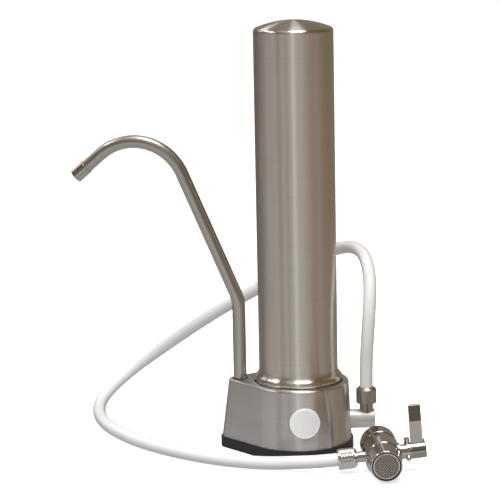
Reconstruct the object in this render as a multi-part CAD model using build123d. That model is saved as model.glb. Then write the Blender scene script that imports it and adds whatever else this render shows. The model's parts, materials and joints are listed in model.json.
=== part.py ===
from build123d import *
import os
from math import asin, atan2, cos, degrees, radians, sin, sqrt, tan

# A countertop water filter. A steel canister stands on a teardrop base with a swivel spout, and a hose joins
# the base to a diverter valve that screws onto a kitchen faucet. Millimetres, +Z up. The origin is on the
# canister's axis at the counter. The spout points to -X and the base's round front faces -Y.

# Fits and gaps
fit = 0.05                     # radial gap of a running or push fit
thread_gap = 0.3               # radial gap at a screw thread
seat_gap = 0.3                 # gap where a moving piece comes to rest

# Base: a tapered teardrop shell on a black foot
base_height = 53.65            # counter to the shell's top
base_wall = 1.5
base_edge_round = 1.8          # rounding of the shell's top edge
top_radius = 38.1              # round end, at the top
top_nose = 8.5                 # nose, at the top
low_radius = 40.1              # round end, at the shell's lower edge
low_nose = 8.6
low_reach = 51.4               # canister axis to the nose's centre, at the lower edge
foot_height = 8.15
foot_floor = 3.0
foot_proud = 1.15              # the foot stands this far outside the shell
foot_rib_height = 4.0          # rib that locates the shell
foot_rib = 2.0
foot_rib_gap = 0.3

# Spout: a bent tube that swivels in the base's nose
spout_offset = 45.4            # canister axis to spout axis, also the nose's centre at the top
spout_diameter = 10.0
spout_wall = 1.0
spout_lean = 23.2              # degrees from the vertical
spout_lean_start = 114.75      # height of the corner where the lean begins
spout_lean_bend = 30.0         # bend radius there
spout_lean_run = 105.8         # straight run up to the arch
spout_arch_radius = 40.0
spout_arch_turn = 107.6        # degrees
spout_tip_run = 26.6           # straight run from the arch to the mouth
tip_length = 12.0
tip_wall = 0.45
tip_lip = 2.0                  # thickness of the tip's end
tip_mouth = 6.4
tip_edge = 0.35
spout_seat_rise = 2.4          # the tube's lower end above the outlet channel
bush_wall = 1.0
bush_depth = 2.5

# Canister: a drawn steel cup with a shallow dome and a rolled rim
canister_diameter = 60.0
canister_wall = 1.2
canister_side = 268.4          # base top to the dome's edge
dome_rise = 6.3
dome_shoulder = 3.0            # rounding where the side meets the dome
rim_overhang = 3.4             # the rim stands this far outside the side
rim_round = 3.9                # radius of the rolled rim's bulge
rim_flare = 50.0               # degrees of bulge above its widest place
rim_curl = 75.0                # degrees of bulge below it
rim_sink = 1.3                 # the rim's lower edge lies this far below the base's top
rim_gap = 0.45                 # gap between the rim and the base's opening
collar_wall = 2.4
collar_height = 16.0
collar_inset = 1.6             # the collar's lower edge above the rim's lower edge
canister_ring_section = 3.0

# Filter head: the manifold inside the base
flange_thickness = 7.0
flange_margin = 1.6            # the flange is this much smaller than the base's opening
spigot_height = 20.0
ring_from_top = 4.4            # canister O-ring below the spigot's top
column_radius = 13.0
port_height = 21.4             # inlet and outlet channels
channel_radius = 3.0
riser_radius = 7.0
riser_offset = 17.0
inlet_angle = 12.0             # degrees from +X towards the back
inlet_arm_radius = 9.0
inlet_arm_setback = 6.1        # the arm ends this far inside the shell's lower edge
inlet_socket_radius = 5.2
inlet_socket_depth = 10.0
outlet_arm_radius = 6.5
boss_radius = 7.9              # spout boss, lower part
boss_neck_radius = 7.0         # spout boss, upper part
boss_clearance = 0.5           # gap between the boss and the foot's rib
boss_wall = 1.5                # floor of the spout's chamber
boss_neck_rise = 8.0           # the lower part's top above the spout's seat
boss_top_gap = 0.1             # gap between the boss and the bush
gland_depth = 8.0              # depth of the boss's counterbore
gland_recess = 6.3
spout_ring_section = 2.0
spout_ring_rises = (2.5, 6.0)  # O-rings above the spout's seat
snap_ring_thickness = 1.0
snap_ring_depth = 0.5          # depth of its groove in the tube
snap_ring_gap = 40.0           # degrees left open
post_radius = 4.5
post_circle = 24.0
post_angles = (60.0, 130.0, 230.0, 300.0)
screw_radius = 2.0
screw_head_radius = 3.6
screw_head_height = 2.0
screw_length = 16.0
screw_sink = 0.5               # the heads lie this far inside the foot's underside

# Filter cartridge
cartridge_radius = 24.5
headspace = 13.8               # cartridge's top to the dome's edge
cap_floor = 3.0
cap_rim = 8.0
cap_wall = 1.1
sleeve_wall = 0.8
block_bore = 6.0
nipple_socket = 9.0
nipple_depth = 16.0
nipple_length = 14.0
nipple_ring_section = 1.9
nipple_ring_drops = (4.0, 9.0)

# Inlet fitting and hose nuts
bar_diameter = 14.5
bar_reach = 58.0               # canister axis to the bar's outer end
bar_edge = 0.8                 # rounding of the bar's outer end
bar_hole_gap = 0.4             # gap in the base's side hole
washer_thickness = 1.5
riser_reach = 51.7             # canister axis to the upright nipple
neck_radius = 5.1
neck_height = 33.2             # lower edge of the hose nut
nipple_shank = 4.1
stub_length = 6.1              # threaded stub inside the hose nut
barb_length = 10.0
barb_bore = 2.2
hose_nut_radius = 7.75
hose_nut_length = 13.3
hose_nut_lower_cone = (1.0, 2.0)   # length along the axis, and how far it draws in
hose_nut_upper_cone = (1.8, 2.0)
flute_count = 20
flute_radius = 0.55

# Hose
hose_diameter = 10.0
hose_bore = 6.3
hose_grip_gap = 0.25           # gap round the hose in a nut
hose_rise = 21.7               # straight run above the inlet
hose_lead = 18.0               # straight run into the diverter
bend_share = 0.45              # share of the shorter run that a bend uses

# Badge: a plain round plate on the base's front
badge_diameter = 23.0
badge_thickness = 1.0
badge_angle = 15.6             # degrees from -Y towards +X
badge_height = 29.1

# Diverter valve, lying on the counter
diverter_right = 71.1          # its crossing axes, from the canister's axis
diverter_front = 59.2
diverter_rest_gap = 0.3        # gap between the coupling nut and the counter
diverter_yaw = 13.0            # degrees that its outlet points right of -Y
diverter_roll = 5.4            # degrees that its lever side is raised
valve_radius = 13.1
valve_front = 9.5              # distances from the cross axis along the main axis
valve_back = 13.5
valve_bore = 4.2
outlet_spigot_radius = 9.9
outlet_spigot_length = 9.0
housing_radius = 13.15
housing_mouth_radius = 11.25
housing_length = 22.5
housing_edge = 0.8
screen_ring_radius = 10.7
screen_radius = 9.75
screen_thickness = 1.0
screen_recess = 0.9
screen_ring_ledge = 1.8
screen_ring_proud = 0.2
inlet_neck_radius = 9.0
inlet_neck_length = 6.1
nut_radius = 13.5
nut_length = 18.0
nut_gap = 0.5                  # gap between the nut and the barrel
nut_round = 2.5
nut_edge = 0.3
nut_lip = 4.0
nut_thread_radius = 11.5       # takes a faucet's outside thread
nut_thread_length = 7.5
nut_relief_radius = 11.0
retainer_thickness = 1.2
retainer_radius = 10.6
retainer_depth = 0.8
faucet_washer_thickness = 2.4
faucet_washer_bore = 6.0
port_radius = 4.1              # hose port's neck
port_length = 18.7             # main axis to the hose nut
side_nut_radius = 7.65
side_nut_length = 14.1
side_nut_port_cone = (2.1, 1.7)    # length along the axis, and how far it draws in
side_nut_hose_cone = (0.5, 0.5)
side_stub_length = 9.3
spool_radius = 5.0
spool_inner_end = 7.0
spool_outer_end = 10.3
spool_port = 3.4
spool_ring_section = 1.4
spool_ring_places = (-5.6, 8.2)
stem_radius = 2.5
bonnet_boss_radius = 7.0
bonnet_boss_end = 13.5
bonnet_neck_radius = 5.5
bonnet_neck_end = 18.9
bonnet_end = 21.0
bonnet_spigot_length = 2.8
lug_radius = 2.1
upper_lug_reach = 10.1
lower_lug_reach = 7.7
lower_lug_angle = 125.0        # degrees from the upper lug, towards the outlet
hub_radius = 6.15
hub_end = 32.5
peg_radius = 1.1               # small peg on the hub, beside the blade
peg_rise = 1.7
peg_inset = 1.6                # hub's end to the peg's axis
lever_reach = 34.4             # cross axis to the lever's tip
lever_splay = 2.0              # degrees that the blade leans outwards
lever_base_width = 9.3
lever_tip_width = 8.7
lever_thickness = 3.0
lever_bend_height = 22.5       # where the finger end bends back
lever_bend = 8.0               # degrees
lever_edge = 0.7
lever_screw_head = 3.2
lever_screw_sink = 1.6
lever_screw_shank = 1.5
lever_screw_length = 7.0

# Heights and radii that follow from the sizes above
canister_radius = canister_diameter / 2
canister_bore = canister_radius - canister_wall
rim_radius = canister_radius + rim_overhang
opening_radius = rim_radius + rim_gap
canister_bottom = base_height - rim_sink
boss_floor = foot_height + foot_rib_height + boss_clearance
boss_top = base_height - bush_depth - boss_top_gap
gland_seat = boss_top - gland_depth
spout_seat = port_height + channel_radius + spout_seat_rise
boss_neck_height = spout_seat + boss_neck_rise
spout_ring_heights = [spout_seat + rise for rise in spout_ring_rises]
inlet_arm_reach = low_radius - inlet_arm_setback
dome_edge = base_height + canister_side
flange_top = canister_bottom - seat_gap
flange_low = flange_top - flange_thickness
spigot_top = flange_top + spigot_height
collar_bore = canister_bore - fit - collar_wall
spigot_radius = collar_bore - thread_gap
canister_ring_height = spigot_top - ring_from_top
canister_ring_floor = collar_bore - canister_ring_section - 2 * fit
spout_radius = spout_diameter / 2
bush_radius = spout_radius + fit + bush_wall
hose_radius = hose_diameter / 2
barb_radius = hose_bore / 2 - fit
bar_radius = bar_diameter / 2
bar_start = inlet_arm_reach + washer_thickness
neck_seat = port_height + sqrt(bar_radius**2 - neck_radius**2)
stub_top = neck_height + stub_length
sleeve_radius = cartridge_radius - cap_wall - fit
block_radius = sleeve_radius - sleeve_wall - fit
cartridge_top = dome_edge - headspace
housing_front = valve_front + housing_length
nut_front = valve_back + nut_gap
nut_back = nut_front + nut_length
neck_end = valve_back + inlet_neck_length

STAND = (Align.CENTER, Align.CENTER, Align.MIN)
ALONG_X = Rot(0, 90, 0)
ALONG_MINUS_X = Rot(0, -90, 0)

nodes = {}


def rod(radius, low, high):
    """A round bar about Z between two heights."""
    return Pos(0, 0, low) * Cylinder(radius, high - low, align=STAND)


def tube(outer, inner, low, high):
    """A round tube about Z between two heights."""
    return rod(outer, low, high) - rod(inner, low, high)


def turned(*corners):
    """A solid turned about Z from (radius, height) corners."""
    outline = Polyline(*[(radius, 0, height) for radius, height in corners], close=True)
    return revolve(make_face(outline), Axis.Z)


def ring(inner_radius, section, height):
    """An O-ring about Z that touches a shaft of the given radius, less the fit."""
    return Pos(0, 0, height) * Torus(inner_radius + fit + section / 2, section / 2)


def groove(outer, depth, width, height):
    """The cutter of a square groove round a shaft or bore."""
    return tube(outer, outer - depth, height - width / 2, height + width / 2)


def ring_opening(radius, low, thickness):
    """The cutter that opens a snap ring on its +Y side."""
    side = 2 * radius * tan(radians(snap_ring_gap) / 2)
    return Pos(0, radius, low) * Box(side, 2 * radius, thickness, align=STAND)


def at_angle(angle, distance):
    """A place on the XY plane, by its angle from +X and its distance from the canister's axis."""
    return Pos(distance * cos(radians(angle)), distance * sin(radians(angle)), 0)


def outward(angle, height):
    """A frame at a height on the canister's axis, whose Z points outwards at an angle from +X."""
    turn = radians(angle)
    way = (cos(turn), sin(turn), 0)
    across = (-sin(turn), cos(turn), 0)
    return Plane(origin=(0, 0, height), x_dir=across, z_dir=way).location


def teardrop(radius, nose, reach, height):
    """The base's plan: a round end about the origin and a nose at -X, joined by their common tangents."""
    lean = asin((radius - nose) / reach)
    back_round = Vector(-radius * sin(lean), radius * cos(lean))
    back_nose = Vector(-reach - nose * sin(lean), nose * cos(lean))
    front_round = Vector(back_round.X, -back_round.Y)
    front_nose = Vector(back_nose.X, -back_nose.Y)
    edges = [
        ThreePointArc(back_round, (radius, 0), front_round),
        Line(front_round, front_nose),
        ThreePointArc(front_nose, (-reach - nose, 0), back_nose),
        Line(back_nose, back_round),
    ]
    return Pos(0, 0, height) * make_face(edges)


def base_plan(height, inset):
    """The shell's plan at a height, drawn in by an inset."""
    share = (height - foot_height) / (base_height - foot_height)
    radius = low_radius + share * (top_radius - low_radius)
    nose = low_nose + share * (top_nose - low_nose)
    reach = low_reach + share * (spout_offset - low_reach)
    return teardrop(radius - inset, nose - inset, reach, height)


def base_block(low, high, inset):
    """The tapered solid inside the shell's plan, between two heights."""
    return loft([base_plan(low, inset), base_plan(high, inset)], ruled=True)


def round_top(solid, radius):
    """Rounds the edges of the highest face."""
    return fillet(solid.faces().sort_by(Axis.Z)[-1].edges(), radius)


# Base

def make_base_shell():
    """The steel cover, open below, with holes for the canister, the spout and the inlet."""
    outside = round_top(base_block(foot_height, base_height, 0), base_edge_round)
    ceiling = base_height - base_wall
    inside = round_top(base_block(foot_height, ceiling, base_wall), base_edge_round - base_wall)
    bar_hole = outward(inlet_angle, port_height) * rod(bar_radius + bar_hole_gap, 0, bar_reach)
    bush_hole = Pos(-spout_offset, 0, 0) * rod(bush_radius + fit, boss_top, base_height)
    return outside - inside - rod(opening_radius, flange_low, base_height) - bush_hole - bar_hole


def make_base_foot():
    """The black foot: a tray whose rim carries the shell, with a rib inside it and screw holes below."""
    rim_inset = base_wall + foot_rib_gap
    rib_top = foot_height + foot_rib_height
    body = extrude(base_plan(foot_height, -foot_proud), amount=-foot_height)
    rib = base_block(foot_height, rib_top, rim_inset)
    hollow = base_block(foot_height, rib_top, rim_inset + foot_rib)
    well = extrude(base_plan(foot_height, rim_inset + foot_rib), amount=-(foot_height - foot_floor))
    foot = body + rib - hollow - well
    for angle in post_angles:
        place = at_angle(angle, post_circle)
        foot -= place * rod(screw_radius + fit, 0, foot_floor)
        foot -= place * rod(screw_head_radius + fit, 0, screw_head_height)
    return foot


def make_base_screws():
    """The screws that hold the filter head on the foot."""
    screw = rod(screw_head_radius, screw_sink, screw_head_height)
    screw += rod(screw_radius, screw_sink, screw_length)
    return Compound(children=[at_angle(angle, post_circle) * screw for angle in post_angles])


def make_badge():
    """A plain round plate that follows the base's round front."""
    slope = (low_radius - top_radius) / (base_height - foot_height)
    foot_side = low_radius + slope * foot_height
    top_side = low_radius - slope * (base_height - foot_height)
    outer = fit + badge_thickness
    band = turned(
        (foot_side + fit, 0),
        (foot_side + outer, 0),
        (top_side + outer, base_height),
        (top_side + fit, base_height),
    )
    plug = outward(badge_angle - 90, badge_height) * rod(badge_diameter / 2, low_radius / 2, low_radius * 2)
    plate = band & plug
    rim = plate.edges().filter_by(GeomType.LINE, reverse=True).group_by(lambda edge: edge.center().length)[-1]
    return fillet(rim, badge_thickness / 2)


nodes["base_shell"] = make_base_shell()
nodes["base_foot"] = make_base_foot()
nodes["base_screws"] = make_base_screws()
nodes["badge"] = make_badge()


# Filter head

def make_filter_head():
    """The manifold: the canister's flange and spigot, an inlet arm, an outlet arm and the spout's boss."""
    spout_place = Pos(-spout_offset, 0, 0)
    inlet = outward(inlet_angle, port_height)
    outlet = outward(180, port_height)
    riser = at_angle(inlet_angle, riser_offset)
    column_low = port_height - inlet_arm_radius
    flange_radius = opening_radius - flange_margin
    head = rod(flange_radius, flange_low, flange_top) + rod(spigot_radius, flange_top, spigot_top)
    head += rod(column_radius, column_low, flange_low)
    head += riser * rod(riser_radius, column_low, flange_low)
    head += inlet * rod(inlet_arm_radius, 0, inlet_arm_reach)
    head += outlet * rod(outlet_arm_radius, 0, spout_offset)
    head += spout_place * rod(boss_radius, boss_floor, boss_neck_height)
    head += spout_place * rod(boss_neck_radius, boss_neck_height, boss_top)
    for angle in post_angles:
        head += at_angle(angle, post_circle) * rod(post_radius, foot_floor, flange_low)
    # Water enters by the arm and riser, and leaves by the middle socket and the boss
    head -= inlet * rod(channel_radius, riser_offset, inlet_arm_reach)
    head -= inlet * rod(inlet_socket_radius, inlet_arm_reach - inlet_socket_depth, inlet_arm_reach)
    head -= riser * rod(channel_radius, port_height, spigot_top)
    head -= rod(nipple_socket, spigot_top - nipple_depth, spigot_top)
    head -= rod(channel_radius, port_height, spigot_top)
    head -= outlet * rod(channel_radius, 0, spout_offset)
    head -= spout_place * rod(spout_radius + fit, boss_floor + boss_wall, boss_top)
    head -= spout_place * rod(gland_recess, gland_seat, boss_top)
    for height in spout_ring_heights:
        ring_bore = spout_radius + spout_ring_section + 2 * fit
        head -= spout_place * groove(ring_bore, ring_bore - spout_radius, spout_ring_section + fit, height)
    ring_groove = spigot_radius - canister_ring_floor
    head -= groove(spigot_radius, ring_groove, canister_ring_section + fit, canister_ring_height)
    for angle in post_angles:
        head -= at_angle(angle, post_circle) * rod(screw_radius + fit, foot_floor, screw_length + fit)
    return head


nodes["filter_head"] = make_filter_head()
nodes["canister_o_ring"] = ring(canister_ring_floor, canister_ring_section, canister_ring_height)


# Canister

def canister_section(inset):
    """Half of the canister's outline, drawn in by an inset: rolled rim, side, shoulder, dome and axis."""
    flare, curl = radians(rim_flare), radians(rim_curl)
    bulge_center = Vector(rim_radius - rim_round, 0, canister_bottom + rim_round * sin(curl))
    bulge = rim_round - inset

    def on_bulge(angle, radius=bulge):
        return bulge_center + Vector(radius * cos(angle), 0, radius * sin(angle))

    neck = on_bulge(flare, rim_round)
    hollow = (neck.X - canister_radius) / (1 - cos(flare))
    hollow_center = neck + Vector(hollow * cos(flare), 0, hollow * sin(flare))
    hollow_round = hollow + inset
    side_start = hollow_center - Vector(hollow_round, 0, 0)
    half_flare = flare / 2
    hollow_middle = hollow_center - Vector(hollow_round * cos(half_flare), 0, hollow_round * sin(half_flare))
    crown = (canister_radius**2 + dome_rise**2) / (2 * dome_rise)
    crown_center = dome_edge + dome_rise - crown
    crown_round = crown - inset
    shoulder = dome_shoulder - inset
    reach = canister_radius - dome_shoulder
    shoulder_height = crown_center + sqrt((crown - dome_shoulder) ** 2 - reach**2)
    lean = atan2(shoulder_height - crown_center, reach)
    side_end = Vector(reach + shoulder, 0, shoulder_height)
    middle_angle = lean / 2
    shoulder_middle = Vector(reach, 0, shoulder_height)
    shoulder_middle += Vector(shoulder * cos(middle_angle), 0, shoulder * sin(middle_angle))
    dome_start = Vector(crown_round * cos(lean), 0, crown_center + crown_round * sin(lean))
    dome_angle = (lean + radians(90)) / 2
    dome_middle = Vector(crown_round * cos(dome_angle), 0, crown_center + crown_round * sin(dome_angle))
    apex = Vector(0, 0, crown_center + crown_round)
    curl_end = on_bulge(-curl, rim_round)
    edges = [
        ThreePointArc(on_bulge(-curl), on_bulge((flare - curl) / 2), on_bulge(flare)),
        ThreePointArc(on_bulge(flare), hollow_middle, side_start),
        Line(side_start, side_end),
        ThreePointArc(side_end, shoulder_middle, dome_start),
        ThreePointArc(dome_start, dome_middle, apex),
        Line(apex, (0, 0, curl_end.Z)),
        Line((0, 0, curl_end.Z), curl_end),
    ]
    if inset:
        edges.append(Line(curl_end, on_bulge(-curl)))
    return make_face(edges)


def make_canister():
    """The drawn steel cup, one sheet from the curl of its rim to the top of its dome."""
    return revolve(canister_section(0) - canister_section(canister_wall), Axis.Z)


def make_canister_collar():
    """The threaded ring inside the canister's mouth."""
    low = canister_bottom + collar_inset
    return tube(canister_bore - fit, collar_bore, low, low + collar_height)


nodes["canister"] = make_canister()
nodes["canister_collar"] = make_canister_collar()


# Filter cartridge

def make_bottom_cap():
    """The lower cap: a cup with an outlet nipple that plugs into the filter head."""
    cap = rod(cartridge_radius, spigot_top, spigot_top + cap_rim)
    cap -= rod(sleeve_radius + fit, spigot_top + cap_floor, spigot_top + cap_rim)
    nipple_radius = nipple_socket - 2 * fit
    cap += rod(nipple_radius, spigot_top - nipple_length, spigot_top)
    cap += rod(block_bore - fit, spigot_top, spigot_top + cap_rim)
    cap -= rod(channel_radius, spigot_top - nipple_length, spigot_top + cap_rim)
    for drop in nipple_ring_drops:
        cap -= groove(nipple_radius, nipple_ring_section, nipple_ring_section + fit, spigot_top - drop)
    return cap


def make_top_cap():
    """The upper cap: a closed cup with a low grip ridge."""
    low = cartridge_top - cap_rim
    cap = rod(cartridge_radius, low, cartridge_top) - rod(sleeve_radius + fit, low, cartridge_top - cap_floor)
    grip = Pos(0, 0, cartridge_top) * Box(2 * block_bore, cap_floor, cap_floor, align=STAND)
    return round_top(cap, cap_wall) + grip


def make_nipple_rings():
    """The two O-rings on the cartridge's nipple."""
    floor = nipple_socket - 2 * fit - nipple_ring_section
    rings = [ring(floor, nipple_ring_section, spigot_top - drop) for drop in nipple_ring_drops]
    return Compound(children=rings)


block_low = spigot_top + cap_floor
block_high = cartridge_top - cap_floor
nodes["cartridge_bottom_cap"] = make_bottom_cap()
nodes["cartridge_top_cap"] = make_top_cap()
nodes["cartridge_o_rings"] = make_nipple_rings()
nodes["carbon_block"] = tube(block_radius, block_bore, block_low, block_high)
nodes["cartridge_sleeve"] = tube(sleeve_radius, block_radius + fit, block_low, block_high)


# Spout

def spout_corners(end_trim):
    """The corners of the spout's centre line, ending short of its mouth by a trim."""
    lean = radians(spout_lean)
    heading = lean + radians(spout_arch_turn)
    tangent = spout_arch_radius * tan(radians(spout_arch_turn) / 2)
    start = Vector(-spout_offset, 0, spout_seat)
    bend = Vector(-spout_offset, 0, spout_lean_start)
    peak = bend + Vector(-sin(lean), 0, cos(lean)) * (spout_lean_run + tangent)
    end = peak + Vector(-sin(heading), 0, cos(heading)) * (tangent + spout_tip_run - end_trim)
    return start, bend, peak, end


def spout_sweep(radius):
    """A round bar along the spout's centre line, up to the inside of its tip."""
    path = FilletPolyline(*spout_corners(tip_lip), radius=[spout_lean_bend, spout_arch_radius])
    return sweep(Plane(origin=path @ 0, z_dir=path % 0) * Circle(radius), path=path)


def make_spout_tube():
    """The bent tube, with a groove for its snap ring."""
    snap_height = gland_seat + fit + snap_ring_thickness / 2
    bent = spout_sweep(spout_radius) - spout_sweep(spout_radius - spout_wall)
    return bent - Pos(-spout_offset, 0, 0) * groove(
        spout_radius + fit, snap_ring_depth + fit, snap_ring_thickness + fit, snap_height
    )


def make_spout_tip():
    """The sleeve on the spout's end, with a rounded lip round its mouth."""
    peak, end = spout_corners(0)[2:]
    frame = Plane(origin=end, x_dir=(0, 1, 0), z_dir=peak - end).location
    outer = spout_radius + fit + tip_wall
    sleeve = rod(outer, 0, tip_length) - rod(spout_radius + fit, tip_lip, tip_length)
    sleeve -= rod(tip_mouth / 2, 0, tip_lip)
    rim = sleeve.edges().filter_by(GeomType.CIRCLE).filter_by(lambda edge: abs(edge.radius - outer) < fit)
    return frame * fillet(rim, tip_edge)


def make_snap_ring():
    """The open ring that keeps the spout in its boss."""
    low = gland_seat + fit
    outer = gland_recess - seat_gap
    closed = tube(outer, spout_radius - snap_ring_depth + fit, low, low + snap_ring_thickness)
    return Pos(-spout_offset, 0, 0) * (closed - ring_opening(outer, low, snap_ring_thickness))


def make_spout_gland():
    """The threaded ring that closes the boss over the snap ring."""
    low = gland_seat + 2 * fit + snap_ring_thickness
    return Pos(-spout_offset, 0, 0) * tube(gland_recess - 2 * fit, spout_radius + fit, low, boss_top)


def make_spout_rings():
    """The two O-rings that seal the spout."""
    rings = [ring(spout_radius, spout_ring_section, height) for height in spout_ring_heights]
    return Compound(children=[Pos(-spout_offset, 0, 0) * each for each in rings])


def make_spout_bush():
    """The black bush in the shell's top, with a shoulder below it."""
    ceiling = base_height - base_wall
    low = base_height - bush_depth
    bush = rod(bush_radius, low, base_height) + rod(bush_radius + fit + bush_wall / 2, low, ceiling - fit)
    return Pos(-spout_offset, 0, 0) * (bush - rod(spout_radius + fit, low, base_height))


nodes["spout_tube"] = make_spout_tube()
nodes["spout_tip"] = make_spout_tip()
nodes["spout_snap_ring"] = make_snap_ring()
nodes["spout_gland"] = make_spout_gland()
nodes["spout_o_rings"] = make_spout_rings()
nodes["spout_bush"] = make_spout_bush()


# Inlet fitting

def make_inlet_bar():
    """The round bar that screws into the head and carries the upright nipple."""
    bar = round_top(rod(bar_radius, bar_start, bar_reach), bar_edge)
    bar += rod(inlet_socket_radius - thread_gap, inlet_arm_reach - inlet_socket_depth, bar_start)
    bar -= rod(channel_radius, inlet_arm_reach - inlet_socket_depth, riser_reach)
    bar = outward(inlet_angle, port_height) * bar
    nipple_place = at_angle(inlet_angle, riser_reach)
    bar -= nipple_place * rod(nipple_shank + fit, port_height, port_height + bar_radius)
    return bar - nipple_place * rod(neck_radius + fit, neck_seat, port_height + bar_radius)


def make_inlet_nipple():
    """The upright nipple: a shank in the bar, a neck, a threaded stub and a barb inside the hose."""
    nipple = rod(nipple_shank, port_height + channel_radius, neck_seat)
    nipple += rod(neck_radius, neck_seat, stub_top)
    nipple += rod(barb_radius, stub_top, stub_top + barb_length)
    nipple -= rod(barb_bore, port_height, stub_top + barb_length)
    return at_angle(inlet_angle, riser_reach) * nipple


def hose_nut(radius, length, low_cone, high_cone, stub):
    """A hose nut about Z from 0: a threaded mouth below and a hole for the hose above."""
    low_length, low_draw = low_cone
    high_length, high_draw = high_cone
    body = turned(
        (0, 0),
        (radius - low_draw, 0),
        (radius, low_length),
        (radius, length - high_length),
        (radius - high_draw, length),
        (0, length),
    )
    return body - rod(neck_radius + thread_gap, 0, stub) - rod(hose_radius + hose_grip_gap, 0, length)


def make_inlet_nut():
    """The fluted nut that holds the hose on the inlet nipple."""
    nut = hose_nut(hose_nut_radius, hose_nut_length, hose_nut_lower_cone, hose_nut_upper_cone, stub_length)
    flute = Pos(hose_nut_radius + flute_radius / 2, 0, 0) * rod(flute_radius, 0, hose_nut_length)
    for index in range(flute_count):
        nut -= Rot(0, 0, 360 / flute_count * index) * flute
    return at_angle(inlet_angle, riser_reach) * Pos(0, 0, neck_height) * nut


nodes["inlet_bar"] = make_inlet_bar()
washer = tube(bar_radius, inlet_socket_radius, inlet_arm_reach, bar_start)
nodes["inlet_washer"] = outward(inlet_angle, port_height) * washer
nodes["inlet_nipple"] = make_inlet_nipple()
nodes["hose_nut_inlet"] = make_inlet_nut()


# Diverter valve: Z along the main axis to the outlet, X along the cross axis to the lever, Y up

yaw, roll = radians(diverter_yaw), radians(diverter_roll)
diverter_center = Vector(diverter_right, -diverter_front, nut_radius + diverter_rest_gap)
outlet_way = Vector(sin(yaw), -cos(yaw), 0)
lever_way = Vector(cos(yaw) * cos(roll), sin(yaw) * cos(roll), sin(roll))
diverter = Plane(origin=diverter_center, x_dir=lever_way, z_dir=outlet_way).location


def make_diverter_body():
    """The valve body: a barrel with an inlet neck, an outlet spigot, a hose port and a bonnet boss."""
    barbed_end = port_length + side_stub_length
    body = rod(valve_radius, -valve_back, valve_front)
    body += rod(outlet_spigot_radius, valve_front, valve_front + outlet_spigot_length)
    body += rod(inlet_neck_radius, -neck_end, -valve_back)
    body += ALONG_MINUS_X * rod(port_radius, 0, port_length)
    body += ALONG_MINUS_X * rod(neck_radius, port_length - fit, barbed_end)
    body += ALONG_MINUS_X * rod(barb_radius, barbed_end, barbed_end + barb_length)
    body += ALONG_X * rod(bonnet_boss_radius, 0, bonnet_boss_end)
    body -= rod(valve_bore, -neck_end, valve_front + outlet_spigot_length)
    body -= ALONG_X * rod(spool_radius + fit, -spool_inner_end - fit, bonnet_boss_end)
    body -= ALONG_MINUS_X * rod(barb_bore, 0, barbed_end + barb_length)
    clip = neck_end - fit - retainer_thickness / 2
    return body - groove(inlet_neck_radius + fit, retainer_depth + fit, retainer_thickness + fit, -clip)


def make_coupling_nut():
    """The smooth nut that screws onto the faucet and turns on the inlet neck."""
    nut = rod(nut_radius, -nut_back, -nut_front)
    nut = fillet(nut.faces().sort_by(Axis.Z)[0].edges(), nut_round)
    nut = chamfer(nut.faces().sort_by(Axis.Z)[-1].edges(), nut_edge)
    nut -= rod(inlet_neck_radius + 2 * fit, -nut_back, -nut_front)
    nut -= rod(nut_relief_radius, -nut_back, -nut_front - nut_lip)
    return nut - rod(nut_thread_radius, -nut_back, -nut_back + nut_thread_length)


def make_retainer():
    """The open ring on the inlet neck that keeps the coupling nut."""
    low = -neck_end + fit
    closed = tube(retainer_radius, inlet_neck_radius - retainer_depth + fit, low, low + retainer_thickness)
    return closed - ring_opening(retainer_radius, low, retainer_thickness)


def make_aerator_housing():
    """The tapered outlet housing that screws onto the body and holds the screen ring."""
    spigot_end = valve_front + outlet_spigot_length
    shell = turned(
        (0, valve_front),
        (housing_radius, valve_front),
        (housing_mouth_radius, housing_front),
        (0, housing_front),
    )
    shell = fillet(shell.edges().filter_by(GeomType.CIRCLE), housing_edge)
    shell -= rod(outlet_spigot_radius + fit, valve_front, spigot_end)
    return shell - rod(screen_ring_radius + fit, spigot_end, housing_front)


def make_screen_ring():
    """The black ring that holds the screen, with a ledge behind it."""
    low = valve_front + outlet_spigot_length + washer_thickness
    high = housing_front + screen_ring_proud
    ledge = high - screen_recess - screen_thickness
    body = rod(screen_ring_radius, low, high) - rod(screen_radius + fit, ledge, high)
    return body - rod(screen_radius - screen_ring_ledge, low, ledge)


def make_valve_spool():
    """The turning plug: a through port, a side channel to the hose and a stem for the lever."""
    stem_end = hub_end - lever_screw_sink
    spool = rod(spool_radius, -spool_inner_end, spool_outer_end) + rod(stem_radius, spool_outer_end, stem_end)
    spool -= rod(barb_bore, -spool_inner_end, 0)
    spool -= rod(lever_screw_shank + fit, stem_end - lever_screw_length, stem_end)
    for place in spool_ring_places:
        spool -= groove(spool_radius + fit, spool_ring_section, spool_ring_section + fit, place)
    return ALONG_X * spool - rod(spool_port, -spool_radius, spool_radius)


def make_spool_rings():
    """The O-rings on the plug."""
    floor = spool_radius - spool_ring_section
    rings = [ALONG_X * ring(floor, spool_ring_section, place) for place in spool_ring_places]
    return Compound(children=rings)


def make_bonnet():
    """The neck that closes the plug's bore, with two stop lugs beside the lever."""
    bonnet = rod(spool_radius - fit, bonnet_boss_end - bonnet_spigot_length, bonnet_boss_end)
    bonnet += rod(bonnet_neck_radius, bonnet_boss_end, bonnet_neck_end)
    bonnet += rod(hub_radius, bonnet_neck_end, bonnet_end)
    bonnet = ALONG_X * bonnet
    upright = Pos(bonnet_end - lug_radius, 0, 0) * Rot(-90, 0, 0)
    bonnet += upright * rod(lug_radius, stem_radius, upper_lug_reach)
    bonnet += Rot(lower_lug_angle, 0, 0) * upright * rod(lug_radius, stem_radius, lower_lug_reach)
    return bonnet - ALONG_X * rod(stem_radius + fit, 0, bonnet_end)


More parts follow.
